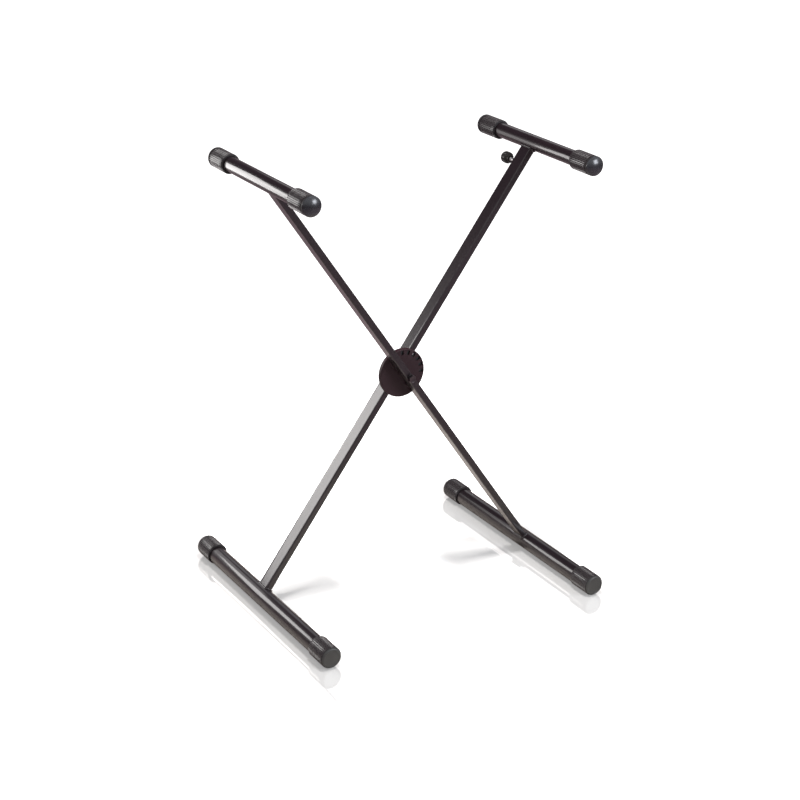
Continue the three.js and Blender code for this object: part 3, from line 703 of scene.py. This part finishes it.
def tack(index, end, side):
    """A short rippled weld bead in the corner between the leg and the disc's plate."""
    radius, length, from_pivot, sunk = 2.1 * MM, 8.8 * MM, 25 * MM, 0.4 * MM
    along, across = leg_axes(FRONT)
    middle = on_leg(FRONT, end * from_pivot, DISC_FRONT - sunk, side * (LEG_WIDTH / 2 + sunk))
    rings, sides = 28, 14
    points = []
    for i in range(rings + 1):
        t = math.pi * i / rings
        swell = math.sin(t) ** 0.7 if 0 < i < rings else 0.0
        reach = radius * swell * (1 + 0.08 * math.cos(10.4 * t))
        for j in range(sides):
            turn = 2 * math.pi * j / sides
            offset = across * reach * math.cos(turn) + Vector((0, reach * math.sin(turn), 0))
            points.append(middle - along * length / 2 * math.cos(t) + offset)
    return make(f"disc_tack_{index}_bead", points, ring_faces(rings + 1, sides), "disc_coat", 60)


for index, (end, side) in enumerate([(-1, -1), (-1, 1), (1, -1), (1, 1)], start=1):
    place(tack(index, end, side), "front_frame", [f"disc_tack_{index}"], "disc_coat")

# ------------------------------------------------------------------ bolt, washers, nut and guide disc

WASHER_FRONT = -LEG_BACK - CLEARANCE - WASHER_THICKNESS
HEAD_SEAT = WASHER_FRONT - CLEARANCE
NUT_SEAT = LEG_BACK + 2 * CLEARANCE + WASHER_THICKNESS
NUT_TOP = NUT_SEAT + 8 * MM
BOLT_END = NUT_SEAT + 10.5 * MM


def hexagon(turn, flats, radius):
    """Radius of a hexagon at a turn, no larger than radius."""
    sector = (turn + math.pi / 6) % (math.pi / 3) - math.pi / 6
    return min(flats / 2 / math.cos(sector), radius)


def hex_piece(name, stations, closing, material, segments=144):
    """Revolves stations of (limit radius, y, hex?) about Y, cut to a hexagon where hex is set."""
    profile = [(r, y) for r, y, _ in stations] + closing

    def shape(turn, i):
        if i < len(stations) and stations[i][2]:
            return hexagon(turn, HEX_FLATS, stations[i][0]) / stations[i][0]
        return 1

    return lathe(name, profile, material, PIVOT, segments, shape, 24)


def thread(start, turns, pitch):
    """Rings with a V groove each, from the nut towards the bolt's end."""
    root = BOLT_RADIUS - 0.45 * MM
    profile = []
    for i in range(turns):
        y = start + pitch * i
        profile += [(BOLT_RADIUS, y + 0.06 * MM), (root, y + 0.25 * MM), (BOLT_RADIUS, y + 0.4 * MM)]
    return profile


def pivot_bolt():
    top = HEAD_SEAT - 5.3 * MM
    head = [
        (0.0, top + 0.35 * MM, False),
        (4.6 * MM, top + 0.25 * MM, False),
        (5.2 * MM, top, False),
        (6.45 * MM, top + 0.1 * MM, True),
        (6.95 * MM, top + 0.45 * MM, True),
        (7.5 * MM, top + 1.0 * MM, True),
        (7.5 * MM, HEAD_SEAT - 0.3 * MM, True),
        (6.9 * MM, HEAD_SEAT, True),
    ]
    shank = [(BOLT_RADIUS, HEAD_SEAT), *thread(NUT_TOP, 5, 0.42 * MM)]
    shank += [(3.2 * MM, BOLT_END), (0.0, BOLT_END)]
    return hex_piece("pivot_bolt_skin", head, shank, "black_steel")


def lock_nut():
    stations = [
        (6.9 * MM, NUT_SEAT, True),
        (7.5 * MM, NUT_SEAT + 0.4 * MM, True),
        (7.5 * MM, NUT_SEAT + 5.4 * MM, True),
        (6.6 * MM, NUT_SEAT + 6.1 * MM, True),
        (5.6 * MM, NUT_SEAT + 6.4 * MM, False),
        (5.5 * MM, NUT_SEAT + 7.5 * MM, False),
        (5.0 * MM, NUT_TOP, False),
    ]
    bore = [(BOLT_BORE, NUT_TOP), (BOLT_BORE, NUT_SEAT)]
    return hex_piece("lock_nut_skin", stations, bore, "black_steel")


place(pivot_bolt(), "front_frame", ["pivot_bolt"], "black_steel")
place(lock_nut(), "front_frame", ["lock_nut"], "black_steel")


def washer(node, y):
    edge = 0.35 * MM
    profile = rounded(
        (BOLT_BORE, y),
        (WASHER_RADIUS, y, edge),
        (WASHER_RADIUS, y + WASHER_THICKNESS, edge),
        (BOLT_BORE, y + WASHER_THICKNESS),
    )
    skin = lathe(f"{node}_skin", profile, "black_steel", PIVOT)
    return place(skin, "front_frame", [node], "black_steel")


washer("front_washer", WASHER_FRONT)
washer("rear_washer", LEG_BACK + CLEARANCE)


def guide_disc():
    """Fills the lock disc from behind, with one hole for the pin."""
    y0, y1 = DISC_BACK + CLEARANCE, LEG_FACE - CLEARANCE
    radius, edge = 42.7 * MM, 0.8 * MM
    profile = rounded((BOLT_BORE, y0), (radius, y0, edge), (radius, y1, edge), (BOLT_BORE, y1))
    disc = lathe("guide_disc_skin", profile, "nylon", PIVOT, 160)
    hole_at = on_leg(REAR, WINDOW_CIRCLE, 0)
    hole = prism("pin_way", round_outline(hole_at.x, hole_at.z, PIN_BORE), y0 - MM, y1 + MM)
    return place(cut(disc, hole), "rear_frame", ["guide_disc"], "nylon")


guide_disc()

# ------------------------------------------------------------------ pin, stud and knob

TRIGGER_AT = on_leg(REAR, TRIGGER_PLACE, 0)
KNOB_SEAT = LEG_BACK + 14 * MM


def locking_pin():
    low, high = (Vector(c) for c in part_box("locking_pin"))
    profile = [(0.0, low.y), (1.6 * MM, low.y), (2.1 * MM, low.y + 0.12 * MM)]
    profile += [(2.4 * MM, low.y + 0.4 * MM), (PIN_RADIUS, low.y + 0.9 * MM)]
    profile += [(PIN_RADIUS, high.y), (0.0, high.y)]
    return lathe("locking_pin_skin", profile, "zinc_steel", on_leg(REAR, WINDOW_CIRCLE, 0), 64)


def trigger_stud():
    low, high = (Vector(c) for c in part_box("trigger_stud"))
    start, pitch, root = LEG_BACK + 6 * MM, 0.85 * MM, STUD_RADIUS - 0.35 * MM
    profile = [(0.0, low.y), (STUD_RADIUS, low.y), (STUD_RADIUS, start)]
    for i in range(9):
        y = start + i * pitch
        profile += [(STUD_RADIUS, y + 0.2 * MM), (root, y + 0.5 * MM), (STUD_RADIUS, y + 0.8 * MM)]
    profile += [(STUD_RADIUS, high.y), (0.0, high.y)]
    return lathe("trigger_stud_skin", profile, "zinc_steel", TRIGGER_AT, 64, smooth_angle=20)


place(locking_pin(), "lock_pin", ["locking_pin"], "zinc_steel")
place(trigger_stud(), "trigger", ["trigger_stud"], "zinc_steel")

# Radius and distance from the knob's seat, in millimetres
KNOB = [
    (0.0, 12.1),
    (3.1, 12.1),
    (3.1, 0.0),
    (6.2, 0.0),
    (6.6, 0.4),
    (6.9, 3.2),
    (9.2, 4.4),
    (10.1, 5.2),
    (10.5, 6.8),
    (10.5, 10.5),
    (10.5, 14.8),
    (10.2, 16.4),
    (9.2, 18.2),
    (7.6, 19.3),
    (5.2, 19.9),
    (0.0, 20.0),
]


def knob_shape(turn, i):
    """Shallow finger grooves round the knob's head."""
    grooves, depth, head_radius = 14, 0.09, 9
    if KNOB[i][0] < head_radius:
        return 1
    return 1 - depth * max(0.0, math.cos(turn * grooves)) ** 1.5


def trigger_knob():
    profile = [(r * MM, KNOB_SEAT + y * MM) for r, y in KNOB]
    return lathe("trigger_knob_skin", profile, "knob_plastic", TRIGGER_AT, 168, knob_shape, 35)


place(trigger_knob(), "trigger", ["trigger_knob"], "knob_plastic")

# ------------------------------------------------------------------ carried-over pieces

KEPT = {
    "front_leg_spacer": "zinc_steel",
    "rear_leg_spacer": "zinc_steel",
    "cross_pin": "zinc_steel",
    "pull_rod": "zinc_steel",
    "return_spring": "zinc_steel",
    "spring_seat": "black_steel",
    "cam_block": "nylon",
    "trigger_block": "nylon",
}
for node, material in KEPT.items():
    for slot in frame["nodes"][node].material_slots:
        slot.material = MATERIALS[material]

# ------------------------------------------------------------------ floor


def math_node(tree, operation, *terms):
    """A math node's result. Each term is a number or another node's output."""
    node = node_of(tree, "ShaderNodeMath", operation=operation)
    for socket, term in zip(node.inputs, terms):
        if isinstance(term, (int, float)):
            socket.default_value = term
        else:
            tree.links.new(term, socket)
    return node.outputs[0]


def eased(tree, value, start, end, low, high):
    """Goes smoothly from low to high as the value goes from start to end."""
    node = node_of(tree, "ShaderNodeMapRange", interpolation_type="SMOOTHSTEP")
    for key, number in zip(("From Min", "From Max", "To Min", "To Max"), (start, end, low, high)):
        node.inputs[key].default_value = number
    tree.links.new(value, node.inputs["Value"])
    return node.outputs["Result"]


def mixed(tree, factor, one, two):
    node = node_of(tree, "ShaderNodeMixShader")
    tree.links.new(factor, node.inputs["Fac"])
    tree.links.new(one, node.inputs[1])
    tree.links.new(two, node.inputs[2])
    return node.outputs[0]


def glowing(tree, shader, strength):
    """A shader with a white glow added. The strength is a number or another node's output."""
    glow = node_of(tree, "ShaderNodeEmission", Color=(1, 1, 1, 1))
    if isinstance(strength, (int, float)):
        glow.inputs["Strength"].default_value = strength
    else:
        tree.links.new(strength, glow.inputs["Strength"])
    node = node_of(tree, "ShaderNodeAddShader")
    tree.links.new(shader, node.inputs[0])
    tree.links.new(glow.outputs[0], node.inputs[1])
    return node.outputs[0]


def by_ray(tree, clear, glossy, other):
    """One shader for camera and transmission rays, one for glossy rays and one for the rest."""
    ray = node_of(tree, "ShaderNodeLightPath").outputs
    direct = math_node(tree, "MAXIMUM", ray["Is Camera Ray"], ray["Is Transmission Ray"])
    return mixed(tree, direct, mixed(tree, ray["Is Glossy Ray"], other, glossy), clear)


FLOOR_REACH = 16
FLOOR_DROP = 0.2 * MM
FOOT_X = centre("right_foot_tube").x
STRIP_SHIFT = 12 * MM
STRIP_SIDE = (42 * MM, 50 * MM)
STRIP_END = (335 * MM, 360 * MM)
STRIP_GLOSS = 0.6
STRIP_GLOW = 0.3
SHADOW_INNER = (50 * MM, 130 * MM)
SHADOW_OUTER = (FOOT_X + 50 * MM, FOOT_X + 100 * MM)
SHADOW_END = (60 * MM, 110 * MM)
SHADOW_DEPTH = 0.9
STEEP = (0.046, 0.075)


def mirror_strips(tree, x, y):
    """1 on the strip beside each foot where the floor mirrors, and 0 elsewhere."""
    strips = []
    for foot in (-FOOT_X, FOOT_X):
        away = math_node(tree, "ABSOLUTE", math_node(tree, "SUBTRACT", x, foot - STRIP_SHIFT))
        strips.append(eased(tree, away, *STRIP_SIDE, 1.0, 0.0))
    along = eased(tree, math_node(tree, "ABSOLUTE", y), *STRIP_END, 1.0, 0.0)
    return math_node(tree, "MULTIPLY", math_node(tree, "MAXIMUM", *strips), along)


def shadow_places(tree, x, y, strip):
    """1 where the legs' shadows show beside the feet, and 0 elsewhere and on the strips."""
    from_middle = math_node(tree, "ABSOLUTE", x)
    shares = [
        eased(tree, from_middle, *SHADOW_INNER, 0.0, 1.0),
        eased(tree, math_node(tree, "ABSOLUTE", y), *SHADOW_END, 1.0, 0.0),
        eased(tree, from_middle, *SHADOW_OUTER, 1.0, 0.0),
        scaled(tree, strip, 1.0, 0.0),
    ]
    product = shares[0]
    for share in shares[1:]:
        product = math_node(tree, "MULTIPLY", product, share)
    return product


def floor_material():
    """White floor with mirror strips at the feet and soft shadows beside them.

    The glow makes it white. It is lower on the strips, whose gloss adds to it, and where the
    shadows show. Seen steeply, by a Fresnel node, the strips turn into plain white floor.
    Gloss on the object sees a floor with painted shade, darker away from the middle.
    """
    mat = bpy.data.materials.new("studio_floor")
    mat.use_nodes = True
    tree = mat.node_tree
    tree.nodes.clear()
    spot = coords(tree)
    axes = node_of(tree, "ShaderNodeSeparateXYZ")
    tree.links.new(spot, axes.inputs[0])
    x, y = axes.outputs["X"], axes.outputs["Y"]
    strip = mirror_strips(tree, x, y)

    matte = node_of(tree, "ShaderNodeBsdfDiffuse", Color=(0.8, 0.785, 0.77, 1)).outputs[0]
    gloss = node_of(tree, "ShaderNodeBsdfGlossy", Color=(1, 0.97, 0.94, 1), Roughness=0.04)
    polished = mixed(tree, scaled(tree, strip, 0.0, STRIP_GLOSS), matte, gloss.outputs[0])
    level = math_node(
        tree,
        "SUBTRACT",
        eased(tree, strip, 0.25, 1.0, 1.0, STRIP_GLOW),
        scaled(tree, shadow_places(tree, x, y, strip), 0.0, SHADOW_DEPTH),
    )
    fresnel = node_of(tree, "ShaderNodeFresnel", IOR=1.5).outputs[0]
    on_strip = math_node(tree, "GREATER_THAN", strip, 0.0)
    plain = math_node(tree, "MULTIPLY", on_strip, eased(tree, fresnel, *STEEP, 1.0, 0.0))
    clear = mixed(tree, plain, glowing(tree, polished, level), glowing(tree, matte, 1.0))

    away = node_of(tree, "ShaderNodeVectorMath", operation="LENGTH")
    tree.links.new(spot, away.inputs[0])
    # Painted shade: the floor's colour for glossy rays only, darker away from the middle
    painted_floor_shade = ramp(
        tree,
        away.outputs["Value"],
        (0.36, (0.54, 0.48, 0.44)),
        (0.46, (0.38, 0.32, 0.30)),
        (0.75, (0.29, 0.215, 0.235)),
    )
    glossy = node_of(tree, "ShaderNodeBsdfDiffuse")
    tree.links.new(painted_floor_shade, glossy.inputs["Color"])
    other = node_of(tree, "ShaderNodeBsdfDiffuse", Color=(0.7, 0.7, 0.7, 1)).outputs[0]
    out = node_of(tree, "ShaderNodeOutputMaterial")
    tree.links.new(by_ray(tree, clear, glossy.outputs[0], other), out.inputs["Surface"])
    return mat


def studio_floor():
    r = FLOOR_REACH
    mesh = bpy.data.meshes.new("floor")
    mesh.from_pydata([(-r, -r, 0), (r, -r, 0), (r, r, 0), (-r, r, 0)], [], [(0, 1, 2, 3)])
    mesh.materials.append(floor_material())
    obj = bpy.data.objects.new("floor", mesh)
    obj.location.z = -FLOOR_DROP
    bpy.context.collection.objects.link(obj)
    return obj


floor = studio_floor()

# ------------------------------------------------------------------ world and lamps

PATCH_WAY = Vector((0.459, 0.755, 0.469)).normalized()


def summed(tree, one, two):
    node = node_of(tree, "ShaderNodeVectorMath", operation="ADD")
    tree.links.new(one, node.inputs[0])
    tree.links.new(two, node.inputs[1])
    return node.outputs["Vector"]


def background(tree, strength):
    return node_of(tree, "ShaderNodeBackground", Color=(1, 1, 1, 1), Strength=strength)


def world():
    """White to the camera. Gloss sees a studio that is dark above, with two bright parts.

    One is the front, and the other is a patch at the back, which whitens the floor's mirror
    strips in the photograph's view.
    """
    sky = bpy.data.worlds.new("studio")
    bpy.context.scene.world = sky
    sky.use_nodes = True
    tree = sky.node_tree
    tree.nodes.clear()
    way = node_of(tree, "ShaderNodeTexCoord").outputs["Generated"]
    axes = node_of(tree, "ShaderNodeSeparateXYZ")
    tree.links.new(way, axes.inputs[0])
    y, z = axes.outputs["Y"], axes.outputs["Z"]
    rise = ramp(
        tree,
        z,
        (0.0, (0.36, 0.31, 0.32)),
        (0.08, (0.20, 0.165, 0.18)),
        (0.25, (0.045, 0.032, 0.042)),
        (1.0, (0.10, 0.085, 0.10)),
    )
    toward = node_of(tree, "ShaderNodeVectorMath", operation="DOT_PRODUCT")
    toward.inputs[1].default_value = PATCH_WAY
    tree.links.new(way, toward.inputs[0])
    patch = ramp(tree, toward.outputs["Value"], (0.978, (0, 0, 0)), (0.988, (0.65, 0.65, 0.65)))
    front = math_node(
        tree,
        "MULTIPLY",
        eased(tree, y, 0.25, 0.45, 0.5, 0.0),
        eased(tree, z, 0.10, 0.25, 0.0, 1.0),
    )
    glossy = background(tree, 1.0)
    tree.links.new(summed(tree, summed(tree, rise, front), patch), glossy.inputs["Color"])
    clear, other = background(tree, 1.0), background(tree, 0.35)
    out = node_of(tree, "ShaderNodeOutputWorld")
    surface = by_ray(tree, clear.outputs[0], glossy.outputs[0], other.outputs[0])
    tree.links.new(surface, out.inputs["Surface"])


world()


def softbox(name, at, aim, width, height, radiance, color=(1, 1, 1), roll=0):
    """An even rectangular light of the given radiance, turned from a place to a point."""
    data = bpy.data.lights.new(name, "AREA")
    data.shape = "RECTANGLE"
    data.size, data.size_y = width, height
    data.color = color
    data.energy = radiance * math.pi * width * height
    lamp = bpy.data.objects.new(name, data)
    way = Vector(aim) - Vector(at)
    lamp.location = at
    lamp.rotation_mode = "QUATERNION"
    lamp.rotation_quaternion = way.to_track_quat("-Z", "Y") @ Quaternion((0, 0, 1), roll)
    lamp.visible_camera = False
    bpy.context.collection.objects.link(lamp)
    return lamp


def back_panel(name, x, y, z, width, height, radiance, roll=0):
    """A warm panel behind the stand that faces straight forward."""
    return softbox(name, (x, y, z), (x, 0, z), width, height, radiance, (1.0, 0.98, 0.97), roll)


PANEL_TILT = math.radians(-20)
overhead = softbox("overhead", (0.0, -0.15, 2.4), (0, 0, 0), 0.5, 0.5, 62)
overhead.visible_glossy = False
softbox("front_right", (1.25, -2.15, 1.55), (0, 0, 0.7), 1.1, 0.9, 12.0, (0.88, 0.92, 1.0))
back_panel("back_left", -0.862, 1.0, 0.742, 0.55, 0.74, 5.6, PANEL_TILT)
back_panel("back_left_edge", -1.12, 0.995, 0.95, 0.36, 0.50, 1.6, PANEL_TILT)
back_panel("back_fill", -0.35, 1.0, 0.6, 0.45, 0.45, 1.0)

# ------------------------------------------------------------------ camera

CAMERA_AT = Vector((-1.6034, -2.6331, 1.5945))
CAMERA_RIGHT = Vector((0.8584, -0.5126, 0.0204))
CAMERA_BACK = Vector((-0.4819, -0.7920, 0.3748))
CAMERA_LENS = 83.85
CAMERA_SENSOR = 36
CAMERA_REACH = 100


def camera():
    """Stands where a perspective camera fitted to the photograph stands."""
    data = bpy.data.cameras.new("camera")
    data.lens = CAMERA_LENS
    data.sensor_width = CAMERA_SENSOR
    data.clip_end = CAMERA_REACH
    obj = bpy.data.objects.new("camera", data)
    back = CAMERA_BACK.normalized()
    up = back.cross(CAMERA_RIGHT.normalized()).normalized()
    turn = Matrix((up.cross(back), up, back)).transposed().to_4x4()
    obj.matrix_world = Matrix.Translation(CAMERA_AT) @ turn
    bpy.context.collection.objects.link(obj)
    return obj


bpy.context.scene.camera = camera()
bpy.context.scene.view_settings.view_transform = "Standard"
